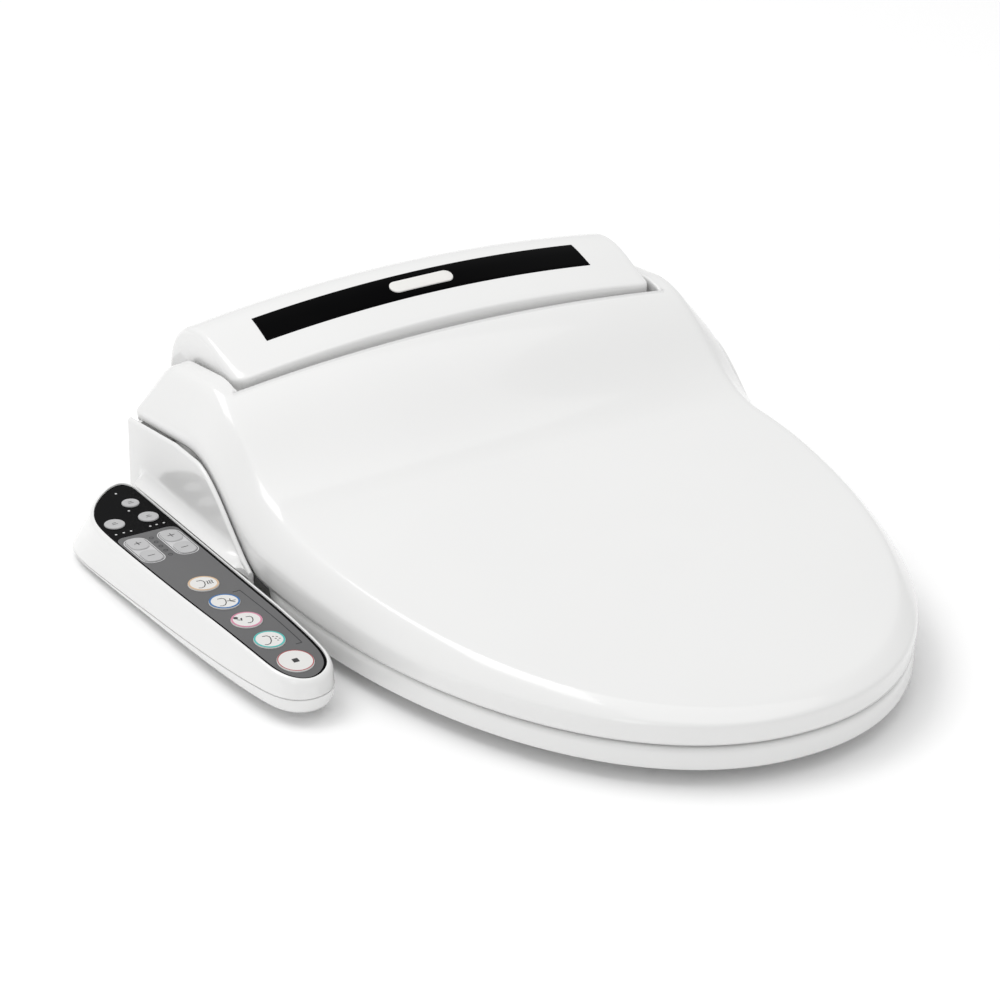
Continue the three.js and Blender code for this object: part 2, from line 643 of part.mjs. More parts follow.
const tankHeater = () => union(
  rod([60, 8, 22], [60, 8, TANK.z1 + 2], 4.4, 12),
  rod([60, 8, TANK.z1 + GAP], [60, 8, TANK.z1 + 7], 9, 6));

const inletValve = () => union(
  box(110, 138, -24, 12, 16, 40), rod([124, -6, 39], [124, -6, 60], 10, 16),
  rod([104.6, 0, 26], [111, 0, 26], 4, 12));

const waterPump = () => union(
  rod([-50, -30, 24], [-50, 20, 24], 12, 16), box(-61, -39, 18, 36, 14, 38));

const mainBoard = () => union(
  box(-80, 22, -42, 32, 79, 80.6), box(-74, -48, -30, -4, 80, 96), box(-40, -20, -34, -14, 80, 92),
  box(-10, 14, -36, -22, 80, 90), box(-70, 10, 14, 26, 80, 88));

// The nozzle unit slopes down to the front; it is drawn level and then turned.
const NOZZLE = { tilt: 12, spread: 9.5, r: 5.8, y: CORE_FRONT, z: 27 };
const tilted = (body) => body.rotate([NOZZLE.tilt, 0, 0]).translate([0, NOZZLE.y, NOZZLE.z]);

function nozzleHousing() {
  const block = prismX([...roundRect(-12, 80, -11, 12.5, 3, 2)], -21.5, 21.5);
  const bores = both(rod([NOZZLE.spread, -20, 0], [NOZZLE.spread, 77, 0], NOZZLE.r + GAP));
  return tilted(cut(block, bores));
}

function nozzle(sign) {
  const x = sign * NOZZLE.spread;
  const tip = rod([x, -9, 0], [x, -13, 0], NOZZLE.r, 20, NOZZLE.r - 1.8);
  const spray = rod([x, -6.5, 1], [x, -6.5, 10], 1.1, 8);
  const body = union(rod([x, -9.01, 0], [x, 74, 0], NOZZLE.r), tip);
  return tilted(cut(body, spray));
}

const nozzleMotor = () => tilted(union(
  rod([22, 56, 1], [33, 56, 1], 9, 16), box(22, 25, 44, 68, -6, 8)));

// Warm air: a fan wheel in a scroll, a duct with its heater, and a flap over the outlet.
const FAN = { y: 10, z: 42, r: 25, x0: -136, x1: -112 };

function blowerHousing() {
  const { y, z, r, x0, x1 } = FAN;
  const outer = rod([x0, y, z], [x1, y, z], r, 28);
  const room = rod([x0 + 2, y, z], [x1 - 2, y, z], r - 2, 28);
  const intake = rod([x0 - 3, y, z], [x0 + 4, y, z], 11);
  const shaft = rod([x1 - 4, y, z], [x1 + 3, y, z], 3, 12);
  const exit = box(x0 + 2, x1 - 2, y - r - 2, y - r + 8, z - 9, z + 5);
  return cut(outer, room, intake, shaft, exit);
}

function blowerImpeller() {
  const { y, z, x1, x0 } = FAN;
  const disc = rod([x1 - 5, y, z], [x1 - 3.5, y, z], 20, 24);
  const hub = rod([x1 - 14, y, z], [x1 - 3.5, y, z], 4, 12);
  const blades = range(12, (i) => box(x0 + 5, x1 - 4, -0.6, 0.6, 13.5, 19.5)
    .rotate([i * 30, 0, 0]).translate([0, y, z]));
  const bore = rod([x0, y, z], [x1, y, z], 1.6, 12);
  return cut(union(disc, hub, ...blades), bore);
}

const blowerMotor = () => union(
  rod([FAN.x1 + GAP, FAN.y, FAN.z], [-86, FAN.y, FAN.z], 13),
  rod([FAN.x1 - 12, FAN.y, FAN.z], [FAN.x1 + 1, FAN.y, FAN.z], 1.2, 12));

function dryerDuct() {
  const { y, r } = FAN;
  const back = y - r - GAP;
  const outer = box(OUTLET.from + 0.6, OUTLET.to - 0.6, CORE_FRONT + WALL + GAP, back,
    OUTLET.low - 1, OUTLET.high + 1);
  const room = box(OUTLET.from + 2.4, OUTLET.to - 2.4, CORE_FRONT, back + 4,
    OUTLET.low + 1, OUTLET.high - 1);
  return cut(outer, room);
}

function dryerHeater() {
  const frame = [-132, -118].map((x) => box(x, x + 1.6, -41, -24, 32, 48));
  const ribbons = range(5, (i) => box(-132, -116.4, -40, -25, 33.2 + i * 3.2, 33.8 + i * 3.2));
  return union(...frame, ...ribbons);
}

const FLAP = { y: CORE_FRONT - 1.6, z: OUTLET.high + 1.6 };
const dryerFlap = () => union(
  box(OUTLET.from - 1, OUTLET.to + 1, FLAP.y - 0.8, FLAP.y + 0.8, OUTLET.low - 1.4, FLAP.z),
  rod([OUTLET.from - 1, FLAP.y, FLAP.z], [OUTLET.to + 1, FLAP.y, FLAP.z], 1.2, 10));

// ---------------------------------------------------------------- materials
const finish = (color, roughness, metalness = 0) => new THREE.MeshStandardMaterial({
  color, roughness, metalness });
const WHITE = finish(0xf2f2f0, 0.2);
const BLACK_GLOSS = finish(0x0a0a0b, 0.08);
const PALE = finish(0xf6f4ee, 0.4);
const GREY = finish(0x6f7072, 0.4);
const KEY_WHITE = finish(0xece9e2, 0.45);
const RUBBER = finish(0xc9c9c6, 0.8);
const BOARD = finish(0x1f5a38, 0.6);
const DARK = finish(0x2b2c2e, 0.5);
const STEEL = finish(0xb8bbbe, 0.3, 0.9);
const COPPER = finish(0xb87333, 0.4, 0.8);

// ---------------------------------------------------------------- assembly
const group = new THREE.Group();
function add(name, body, material) {
  const mesh = new THREE.Mesh(geometryOf(body), material);
  mesh.name = name;
  group.add(mesh);
}

add('lid_shell', lidShell(), WHITE);
add('seat_upper_shell', seatUpper(), WHITE);
add('seat_lower_shell', seatLower(), WHITE);
add('seat_heater', seatHeater(), COPPER);
add('base_housing', baseHousing(), WHITE);
add('side_panel_left', cut(union(sidePanel(), wing()), armCableHole()), WHITE);
add('side_panel_right', mirror(sidePanel()), WHITE);
add('top_housing', topHousing(), WHITE);
add('display_window', windowSlab(0, 0.1, 1.2), BLACK_GLOSS);
add('badge', badgeSlab(), PALE);
add('arm_upper_shell', armUpper(), WHITE);
add('arm_lower_shell', armLower(), WHITE);
add('panel_fascia', panelFascia(), GREY);
add('panel_board', panelBoard(), BOARD);
[...ROUND_KEYS, ...PILL_KEYS].forEach((key) => add(key.name, keySolid(key), KEY_WHITE));
add('mounting_bracket', mountingBracket(), STEEL);
add('release_button', releaseButton(), GREY);
add('hinge_pin_left', hingePin(), STEEL);
add('hinge_pin_right', mirror(hingePin()), STEEL);
add('soft_close_damper_left', damper(), DARK);
add('soft_close_damper_right', mirror(damper()), DARK);
add('water_inlet', waterInlet(), PALE);
add('inlet_filter', inletFilter(), GREY);
add('power_gland', powerGland(), DARK);
add('panel_cable', panelCable(), DARK);
add('water_tank', waterTank(), PALE);
add('tank_heating_element', tankHeater(), STEEL);
add('inlet_valve', inletValve(), DARK);
add('water_pump', waterPump(), DARK);
add('main_board', mainBoard(), BOARD);
add('nozzle_housing', nozzleHousing(), GREY);
add('rear_wash_nozzle', nozzle(-1), PALE);
add('front_wash_nozzle', nozzle(1), PALE);
add('nozzle_motor_left', nozzleMotor(), DARK);
add('nozzle_motor_right', mirror(nozzleMotor()), DARK);
add('blower_housing', blowerHousing(), DARK);
add('blower_impeller', blowerImpeller(), GREY);
add('blower_motor', blowerMotor(), STEEL);
add('dryer_duct', dryerDuct(), DARK);
add('dryer_heating_element', dryerHeater(), COPPER);
add('dryer_flap', dryerFlap(), WHITE);
[[-140, -205], [140, -205], [-96, -366], [96, -366]].forEach(([x, y], i) => {
  add(`seat_buffer_${i + 1}`, seatBufferAt(x, y), RUBBER);
});
[[78, -1], [78, 1], [22, -1], [22, 1]].forEach(([angle, sign], i) => {
  add(`lid_buffer_${i + 1}`, lidBuffer(angle, sign), RUBBER);
});

export default group;
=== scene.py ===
"""Electric bidet seat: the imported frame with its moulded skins, panel print and small parts.

Lengths are in millimetres and turned into metres where a mesh is made. Front is -Y, up is +Z.
"""
import math

import bmesh
import bpy
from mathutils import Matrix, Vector


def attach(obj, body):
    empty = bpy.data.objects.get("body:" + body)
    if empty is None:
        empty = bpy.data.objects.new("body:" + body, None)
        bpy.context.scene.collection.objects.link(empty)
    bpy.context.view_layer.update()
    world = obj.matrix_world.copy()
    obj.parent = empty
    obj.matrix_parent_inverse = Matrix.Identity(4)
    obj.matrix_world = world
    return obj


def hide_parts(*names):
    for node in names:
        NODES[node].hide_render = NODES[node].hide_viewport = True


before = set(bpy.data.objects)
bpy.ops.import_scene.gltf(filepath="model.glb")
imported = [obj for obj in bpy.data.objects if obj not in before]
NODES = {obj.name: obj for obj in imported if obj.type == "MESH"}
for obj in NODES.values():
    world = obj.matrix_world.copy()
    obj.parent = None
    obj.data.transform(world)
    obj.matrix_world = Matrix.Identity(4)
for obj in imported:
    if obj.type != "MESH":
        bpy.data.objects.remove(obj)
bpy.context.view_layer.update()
MM = 0.001

# ------------------------------------------------------------------ driving dimensions
TIP_Y = -467.5
SIDE_Y = -147.7
LID_HALF = 185.5
OVAL = 2.12
LID_LOW = 26.6
LID_BACK = -54.8
HINGE_Y, HINGE_Z = 4.0, 94.0
LUG_R = 20.0
BOSS_X, ARM_SLOT_TOP = 174.5, 88.0
CORE_HALF = 152.0
CORE_TOP = 88.0
CROWN = 11.5
BODY_HALF = 190.0
SEAT_LOW = 9.5
SEAT_TOP = 25.4
HOLE_HALF, HOLE_FRONT, HOLE_BACK = 103.0, -392.0, -138.0
NOTCH = CORE_HALF + 2.2

CAMERA_AZIMUTH = -30.53
CAMERA_ELEVATION = 25.98
CAMERA_TARGET = (-105.99, -292.63, 126.91)
CAMERA_DISTANCE = 2800.1
CAMERA_LENS = 172.83


# ------------------------------------------------------------------ small helpers
def clamp01(t):
    return min(1.0, max(0.0, t))


def smooth(t):
    t = clamp01(t)
    return t * t * (3 - 2 * t)


def lerp(a, b, t):
    return a + (b - a) * t


def spread(a, b, count):
    """Count + 1 even steps from a to b."""
    return [lerp(a, b, i / count) for i in range(count + 1)]


def lerp3(p, q, t):
    return tuple(lerp(a, b, t) for a, b in zip(p, q))


def ease_line(points, rounds):
    """Softens the corners of a polyline, leaving its ends where they are."""
    points = [Vector(p) for p in points]
    for _ in range(rounds):
        moved = list(points)
        for i in range(1, len(points) - 1):
            moved[i] = points[i] * 0.5 + (points[i - 1] + points[i + 1]) * 0.25
        points = moved
    return [tuple(p) for p in points]


def arc(a, b, r, start, end, steps):
    """Points of a plane arc about (a, b), in degrees."""
    out = []
    for angle in spread(math.radians(start), math.radians(end), steps):
        out.append((a + r * math.cos(angle), b + r * math.sin(angle)))
    return out


def add_grid(bm, rows, close_across=False, close_along=False):
    """Adds a grid of quads over rows of equal length, in millimetres."""
    verts = [[bm.verts.new(Vector(p) * MM) for p in row] for row in rows]
    last_row = len(verts) if close_along else len(verts) - 1
    across = len(verts[0]) if close_across else len(verts[0]) - 1
    for r in range(last_row):
        upper = verts[(r + 1) % len(verts)]
        for c in range(across):
            d = (c + 1) % len(verts[0])
            bm.faces.new((verts[r][c], verts[r][d], upper[d], upper[c]))
    return verts


def finish_piece(bm, name, material, body, stands_for=(), sharp=35, weld=0.02):
    """Turns a bmesh into a piece of the object that rides on a body."""
    bmesh.ops.remove_doubles(bm, verts=bm.verts, dist=weld * MM)
    bmesh.ops.dissolve_degenerate(bm, edges=bm.edges, dist=0.001 * MM)
    bmesh.ops.recalc_face_normals(bm, faces=bm.faces)
    mesh = bpy.data.meshes.new(name)
    bm.to_mesh(mesh)
    bm.free()
    for poly in mesh.polygons:
        poly.use_smooth = True
    mesh.set_sharp_from_angle(angle=math.radians(sharp))
    mesh.materials.append(material)
    obj = bpy.data.objects.new(name, mesh)
    bpy.context.scene.collection.objects.link(obj)
    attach(obj, body)
    if stands_for:
        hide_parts(*stands_for)
    return obj


def solidify(obj, thickness):
    mod = obj.modifiers.new("wall", "SOLIDIFY")
    mod.thickness = thickness * MM
    mod.offset = -1
    mod.use_even_offset = False


# ------------------------------------------------------------------ materials
def new_material(name, color, rough, metallic=0.0):
    mat = bpy.data.materials.new(name)
    mat.use_nodes = True
    shader = mat.node_tree.nodes["Principled BSDF"]
    shader.inputs["Base Color"].default_value = (*color, 1)
    shader.inputs["Roughness"].default_value = rough
    shader.inputs["Metallic"].default_value = metallic
    return mat, shader


def noise(mat, scale, detail=3.0, stretch=(1, 1, 1)):
    nodes, links = mat.node_tree.nodes, mat.node_tree.links
    coords = nodes.new("ShaderNodeTexCoord")
    mapping = nodes.new("ShaderNodeMapping")
    mapping.inputs["Scale"].default_value = stretch
    tex = nodes.new("ShaderNodeTexNoise")
    tex.inputs["Scale"].default_value = scale
    tex.inputs["Detail"].default_value = detail
    links.new(coords.outputs["Object"], mapping.inputs["Vector"])
    links.new(mapping.outputs["Vector"], tex.inputs["Vector"])
    return tex


def vary_color(mat, shader, tex, dark, light):
    nodes, links = mat.node_tree.nodes, mat.node_tree.links
    ramp = nodes.new("ShaderNodeValToRGB")
    ramp.color_ramp.elements[0].color = (*dark, 1)
    ramp.color_ramp.elements[0].position = 0.35
    ramp.color_ramp.elements[1].color = (*light, 1)
    ramp.color_ramp.elements[1].position = 0.65
    links.new(tex.outputs["Fac"], ramp.inputs["Fac"])
    links.new(ramp.outputs["Color"], shader.inputs["Base Color"])


def vary_roughness(mat, shader, tex, low, high):
    nodes, links = mat.node_tree.nodes, mat.node_tree.links
    span = nodes.new("ShaderNodeMapRange")
    span.inputs["To Min"].default_value = low
    span.inputs["To Max"].default_value = high
    links.new(tex.outputs["Fac"], span.inputs["Value"])
    links.new(span.outputs["Result"], shader.inputs["Roughness"])


def add_bump(mat, shader, tex, strength, distance):
    nodes, links = mat.node_tree.nodes, mat.node_tree.links
    bump = nodes.new("ShaderNodeBump")
    bump.inputs["Strength"].default_value = strength
    bump.inputs["Distance"].default_value = distance
    links.new(tex.outputs["Fac"], bump.inputs["Height"])
    links.new(bump.outputs["Normal"], shader.inputs["Normal"])


def moulded(name, color, rough, grain=0.04, coat=0.0, spread_by=0.02, scale=420, specular=0.5):
    """Moulded plastic: faint colour drift, roughness patches and a fine skin."""
    mat, shader = new_material(name, color, rough)
    drift = noise(mat, 9, 2)
    dark = tuple(max(0.0, c - spread_by) for c in color)
    light = tuple(min(1.0, c + spread_by * 0.5) for c in color)
    vary_color(mat, shader, drift, dark, light)
    skin = noise(mat, scale, 3)
    vary_roughness(mat, shader, noise(mat, 35, 4), rough * 0.85, rough * 1.15)
    add_bump(mat, shader, skin, grain, 0.0002)
    shader.inputs["Specular IOR Level"].default_value = specular
    shader.inputs["Coat Weight"].default_value = coat
    shader.inputs["Coat Roughness"].default_value = 0.06
    return mat


def metal(name, color, rough, stretch=(1, 40, 40)):
    """Brushed or turned metal with fine lines along one axis."""
    mat, shader = new_material(name, color, rough, 1.0)
    lines = noise(mat, 60, 5, stretch)
    vary_roughness(mat, shader, lines, rough * 0.7, rough * 1.4)
    add_bump(mat, shader, lines, 0.08, 0.0001)
    return mat


WHITE = moulded("white_gloss", (0.805, 0.805, 0.8), 0.2, 0.015, 0.5, 0.006, 300)
SEAT_WHITE = moulded("seat_white", (0.8, 0.8, 0.795), 0.22, 0.015, 0.4, 0.006, 300)
BLACK = moulded("black_gloss", (0.0012, 0.0012, 0.0014), 0.1, 0.006, 0.0, 0.0008, 260, 0.02)
RUBBER = moulded("buffer_rubber", (0.62, 0.62, 0.6), 0.75, 0.25, 0.0, 0.02, 900)
DARK = moulded("dark_plastic", (0.035, 0.036, 0.04), 0.5, 0.12, 0.0, 0.008, 700)
PALE = moulded("pale_plastic", (0.78, 0.78, 0.75), 0.35, 0.05, 0.0, 0.015, 500)
GREY = moulded("grey_plastic", (0.36, 0.37, 0.38), 0.42, 0.1, 0.0, 0.015, 700)
BOARD = moulded("circuit_board", (0.02, 0.14, 0.06), 0.4, 0.2, 0.1, 0.02, 1500)
STEEL = metal("steel", (0.62, 0.63, 0.64), 0.28)
COPPER = metal("copper", (0.72, 0.42, 0.25), 0.3)


# ------------------------------------------------------------------ shared shapes
def lid_middle(y):
    return 69 + 0.055 * (y + 154) - 0.00008 * (y + 154) ** 2 + 52 * smooth((y + 147) / 106) \
        - 0.17 * max(0.0, y + 36)


def lid_crown(y):
    return 5 + 6 * smooth((y + 149) / 60)


def lid_top(x, y):
    level = lid_middle(y) - lid_crown(y) * (x / 165) ** 2
    if y > HINGE_Y:
        arc_share = math.sqrt(max(0.0, 1 - ((y - HINGE_Y) / LUG_R) ** 2))
        level = HINGE_Z + (level - HINGE_Z) * arc_share
    return level


def lid_low(y):
    return LID_LOW + 52 * smooth((y + 140) / 90) - 0.115 * max(0.0, y + 45)


def rim_height(y):
    return 7 + 11 * (1 - smooth((y + 125) / 95)) - 5.5 * smooth((-150 - y) / 180)


def cheek_top(y):
    return 26 + 52.5 * smooth((y + 150) / 88) - 0.12 * max(0.0, y + 35)


def panel_top(y):
    return 35 - 0.0009 * min(0.0, y + 180) ** 2


def crease_inset(y):
    return 15 + 4 * smooth((y + 200) / 110)


def front_oval(angle):
    """Point of the lid's rounded front at an angle from +X (0) over the tip to -X (180)."""
    c, s = math.cos(math.radians(angle)), math.sin(math.radians(angle))
    x = math.copysign(LID_HALF * abs(c) ** (2 / OVAL), c)
    return x, SIDE_Y - (SIDE_Y - TIP_Y) * abs(s) ** (2 / OVAL)


# ------------------------------------------------------------------ lid
SIDE_STEPS, SLOPE_STEPS, SHOULDER_STEPS, TOP_STEPS = 8, 12, 5, 26
FRONT_STEPS = 96
LID_WALL = 2.7
SLOT_WALL = 3.0  # from the notch to the slot that the seat's arm turns in


def lid_station(edge, toward):
    """Heights from the lid's lower edge over rim and side slope up to the crease."""
    ex, ey = edge
    reach = math.hypot(toward[0] - ex, toward[1] - ey)
    ux, uy = (toward[0] - ex) / reach, (toward[1] - ey) / reach
    inset, low, rim = crease_inset(ey), lid_low(ey), rim_height(ey)
    bulge = lerp(1.35, 1.07, smooth((ey + 180) / 95))
    top = lid_top(ex + ux * inset, ey + uy * inset)
    points = []
    for z in spread(0, 1, SIDE_STEPS):
        tuck = 0.9 * (1 - z) ** 2
        points.append((ex + ux * tuck, ey + uy * tuck, low + min(rim, top - low - 1.5) * z))
    start = points[-1][2]
    for u in spread(0, 1, SLOPE_STEPS)[1:]:
        x, y = ex + ux * inset * u, ey + uy * inset * u
        points.append((x, y, lerp(start, top, 1 - (1 - u) ** bulge)))
    return points


def lid_rows():
    """Places along Y of the rows behind the rounded front: the lid's body and its hinge lugs."""
    body = spread(SIDE_Y, LID_BACK, 24)
    lug = spread(LID_BACK, HINGE_Y, 14) + [
        HINGE_Y + LUG_R * math.sin(math.radians(a)) for a in (12, 24, 36, 48, 60, 72, 81, 87)]
    return body, lug


def side_to_centre(y, side, to_notch):
    """One half row, from the rim to the notch or to the centre line."""
    points = lid_station((side * LID_HALF, y), (0, y))
    crease = abs(points[-1][0])
    for x in spread(crease, NOTCH, SHOULDER_STEPS)[1:]:
        points.append((side * x, y, lid_top(x, y)))
    if not to_notch:
        for x in spread(NOTCH, 0, TOP_STEPS)[1:]:
            points.append((side * x, y, lid_top(x, y)))
    return ease_line(points, 2)


def add_lid_lug(bm, side, rows):
    """The hinge lug beside the rear cover: top strip, wall along the cover and rear face."""
    strips = []
    for y in rows:
        top = side_to_centre(y, side, True)
        _, _, z = top[-1]
        low, lip = lid_low(y), smooth((y - LID_BACK) / 5)
        wall = [(side * (NOTCH + 0.35 * lip), y, z - 0.35), (side * NOTCH, y, z - 1.2)]
        wall += [(side * NOTCH, y, h) for h in spread(z - 3, low, 6)]
        top[-1] = (side * (NOTCH + 1.2 * lip), y, z)
        strips.append(top + wall)
    add_grid(bm, strips)
    rear = strips[-1][SIDE_STEPS:SIDE_STEPS + SLOPE_STEPS + SHOULDER_STEPS + 1]
    low = lid_low(HINGE_Y + LUG_R)
    foot = [ARM_SLOT_TOP if NOTCH + SLOT_WALL < abs(x) < BOSS_X else low for x, _, _ in rear]
    add_grid(bm, [[(x, y, lerp(z, f, t)) for (x, y, z), f in zip(rear, foot)]
                  for t in spread(0, 1, 4)])


def build_lid():
    body, lug = lid_rows()
    bm = bmesh.new()
    rows = []
    for y in body:
        left = side_to_centre(y, -1, False)
        right = side_to_centre(y, 1, False)
        rows.append(left + right[-2::-1])
    add_grid(bm, rows)
    half = rows[0][: len(rows[0]) // 2 + 1]
    fan = []
    for angle in spread(180, 0, FRONT_STEPS):
        edge_point = front_oval(angle)
        points = lid_station(edge_point, (0, SIDE_Y))
        cx, cy, _ = points[-1]
        base = abs(half[SIDE_STEPS + SLOPE_STEPS][0])
        for p in half[SIDE_STEPS + SLOPE_STEPS + 1:]:
            k = abs(p[0]) / base
            x, y = cx * k, lerp(SIDE_Y, cy, k)
            points.append((x, y, lid_top(x, y)))
        fan.append(ease_line(points, 2))
    fan[0] = half
    fan[-1] = [(-x, y, z) for x, y, z in half]
    add_grid(bm, fan)
    for side in (-1, 1):
        add_lid_lug(bm, side, lug)
    obj = finish_piece(bm, "lid_skin", WHITE, "lid", ("lid_shell",), 50)
    solidify(obj, LID_WALL)


build_lid()


# ------------------------------------------------------------------ seat
def seat_half(y):
    return 184 - 9 * smooth((y + 160) / 40)


def seat_rise(y):
    return 38 * smooth((y + 165) / 85)


def seat_edges(angle):
    """Outer and inner edge of the seat ring at an angle round it, in degrees."""
    c, s = math.cos(math.radians(angle)), math.sin(math.radians(angle))
    mid, reach = (HOLE_FRONT + HOLE_BACK) / 2, (HOLE_BACK - HOLE_FRONT) / 2

    def bend(v, power):
        return math.copysign(abs(v) ** (2 / power), v)

    inner = (HOLE_HALF * bend(c, 2.15), mid + reach * bend(s, 2.15))
    if s < 0:
        outer_y = SIDE_Y - (SIDE_Y - TIP_Y - 1.5) * abs(s) ** (2 / OVAL)
        outer_x = seat_half(outer_y) * bend(c, OVAL)
    else:
        outer_y = lerp(SIDE_Y, -84, s ** (2 / 5))
        outer_x = seat_half(outer_y) * bend(c, 5)
    return (outer_x, outer_y), inner


def seat_ring(section, steps=192):
    rows = []
    for angle in spread(0, 360, steps)[:-1]:
        outer, inner = seat_edges(angle)
        width = math.dist(outer, inner)
        row = []
        for share, offset, z in section:
            k = share + offset / width
            x, y = lerp(outer[0], inner[0], k), lerp(outer[1], inner[1], k)
            row.append((x, y, z + seat_rise(y)))
        rows.append(row)
    return rows


def build_seat():
    outer = [(0, o, z) for o, z in (
        (2.0, 12.0), (2.0, 10.2), (1.6, 9.8), (0.9, 9.8), (0.3, 10.3), (0, 11.4), (0, 13), (0, 16),
        (0, 19), (0.15, 20.6), (0.6, 22), (1.3, 23.1), (2.3, 24), (3.7, 24.7), (5.4, 25.2))]
    top = [(k, 7 * (1 - k) - 8 * k, SEAT_TOP - 2.2 * k ** 1.5) for k in spread(0.02, 1, 12)]
    inner = [(1, o, z) for o, z in (
        (-5.5, 22.3), (-3.6, 21.2), (-1.9, 19.6), (-0.7, 17.4), (-0.1, 15), (0, 13), (0, 11.4),
        (-0.3, 10.3), (-0.9, 9.8), (-1.6, 9.8), (-2.0, 10.2), (-2.0, 12.0))]
    under = [(k, 0, 12.0) for k in (0.8, 0.6, 0.4, 0.2)]
    bm = bmesh.new()
    add_grid(bm, seat_ring(outer + top + inner + under), True, True)
    finish_piece(bm, "seat_skin", SEAT_WHITE, "seat", (), 50)
    bm = bmesh.new()
    plate_top = 11.6
    section = [(0, 2.3, 9.9), (0, 2.7, SEAT_LOW), (0.25, 0, SEAT_LOW), (0.5, 0, SEAT_LOW),
               (0.75, 0, SEAT_LOW), (1, -2.7, SEAT_LOW), (1, -2.3, 9.9), (1, -2.3, plate_top),
               (0.75, 0, plate_top), (0.5, 0, plate_top), (0.25, 0, plate_top), (0, 2.3, plate_top)]
    add_grid(bm, seat_ring(section), True, True)
    finish_piece(bm, "seat_base_plate", SEAT_WHITE, "seat",
                 ("seat_lower_shell",), 40)


def arm_outline():
    """Side view of a seat hinge arm, round at the hinge."""
    return arc(HINGE_Y, HINGE_Z, 7.6, 100, -65, 14) + [
        (-70, 52), (-95, 45), (-112, 39), (-112, 44), (-97, 60), (-60, 79), (-30, 93)]


def build_seat_arms():
    for name, x0, x1 in (("seat_arm_left", 161, 171), ("seat_arm_right", -171, -161)):
        bm = bmesh.new()
        loop = arm_outline()
        rows = []
        for x, inset in ((x0, 1.0), (x0 + 0.3, 0.3), (x0 + 1, 0),
                         (x1 - 1, 0), (x1 - 0.3, 0.3), (x1, 1.0)):
            middle = (sum(p[0] for p in loop) / len(loop), sum(p[1] for p in loop) / len(loop))
            ring = []
            for y, z in loop:
                away = math.dist((y, z), middle)
                k = 1 - inset / away
                ring.append((x, lerp(middle[0], y, k), lerp(middle[1], z, k)))
            rows.append(ring)
        verts = add_grid(bm, rows, True)
        bm.faces.new(verts[0])
        bm.faces.new(verts[-1])
        stands = ("seat_upper_shell",) if name == "seat_arm_left" else ()
        finish_piece(bm, name, SEAT_WHITE, "seat", stands, 40)


build_seat()
build_seat_arms()


# ------------------------------------------------------------------ rear cover
def crown_at(x):
    return CROWN * (1 - (x / CORE_HALF) ** 2)


def cover_profile():
    """Side view of the cover's ends, from the front foot over the top to the rear foot."""
    front = [(-52.5, CORE_TOP), (-52.8, 97), (-53, 105), (-52.5, 106.6), (-51.3, 108.4),
             (-50.3, 109.6), (-50, 111), (-50, 114), (-50, 116.0)]
    edge = [(-49.7, 116.9), (-49.0, 117.6), (-48, 118.1)]
    top = [(-42, 119.9), (-35, 122.0), (-27, 124.5), (-19, 127.2), (-12, 129.5), (-6, 130.9),
           (1, 131.8), (8, 131.4), (15, 129.7), (22, 127.1), (28.5, 123.4), (34, 118.7),
           (38.2, 113.3), (41.4, 106.8), (43.5, 100), (44.6, 94), (45, CORE_TOP)]
    return front + edge + ease_line(top, 2)


def inset_profile(points, depth):
    """Moves a side view's points in towards its middle, keeping its feet level."""
    moved = []
    for y, z in points:
        mid_y, mid_z = min(30.0, max(-38.0, y)), min(z, 104.0)
        away = math.hypot(y - mid_y, z - mid_z)
        k = min(1.0, depth / away) if away > 0 else 0.0
        moved.append((lerp(y, mid_y, k), lerp(z, mid_z, k)))
    return moved


CORNER_R = 9.0
COVER_EDGE_R = 4.0
COVER_WALL = 2.4


def corner_back(x):
    """How far the cover's front face turns back at its rounded ends."""
    out = min(CORNER_R, max(0.0, abs(x) - CORE_HALF + CORNER_R))
    return CORNER_R - math.sqrt(CORNER_R ** 2 - out ** 2)


def build_cover():
    profile = cover_profile()
    rows = []
    angles = (0, 12, 25, 40, 55, 70, 80, 90)
    for angle in angles:
        a = math.radians(angle)
        x = -CORE_HALF + COVER_EDGE_R - COVER_EDGE_R * math.cos(a)
        inset = COVER_EDGE_R * (1 - math.sin(a))
        rows.append((x, inset_profile(profile, inset)))
    near = [-CORE_HALF + COVER_EDGE_R + d for d in (1, 2, 3.2, 4.6, 7)]
    for x in near + spread(-CORE_HALF + 14, CORE_HALF - 14, 44) + [-x for x in reversed(near)]:
        rows.append((x, profile))
    rows += [(-x, p) for x, p in rows[len(angles) - 1::-1]]
    bm = bmesh.new()
    grid = []
    for x, points in rows:
        lift = [clamp01((z - CORE_TOP) / 23) for _, z in points]
        grid.append([(x, y + corner_back(x) * clamp01((-20 - y) / 25), z + crown_at(x) * k)
                     for (y, z), k in zip(points, lift)])
    verts = add_grid(bm, grid)
    bm.faces.new(verts[0])
    bm.faces.new(verts[-1])
    obj = finish_piece(bm, "rear_cover_skin", WHITE, "root", ("top_housing",), 40)
    solidify(obj, COVER_WALL)


def cover_height(x, y):
    """Height of the cover's top at a place on the window."""
    points = [(py, pz) for py, pz in cover_profile() if -49 < py < 24]
    for (y0, z0), (y1, z1) in zip(points, points[1:]):
        if y0 <= y <= y1:
            return lerp(z0, z1, (y - y0) / (y1 - y0)) + crown_at(x)
    return points[-1][1] + crown_at(x)


WINDOW_HALF_BACK, WINDOW_HALF_FRONT = 117.4, 118.4
WINDOW_FRONT, WINDOW_BACK = -26.9, -4.9


def window_point(u, v, lift):
    """u and v run from 0 to 1 across and up the window."""
    y = lerp(WINDOW_FRONT, WINDOW_BACK, v)
    half = lerp(WINDOW_HALF_FRONT, WINDOW_HALF_BACK, v)
    x = lerp(-half, half, u)
    return x, y, cover_height(x, y) + lift


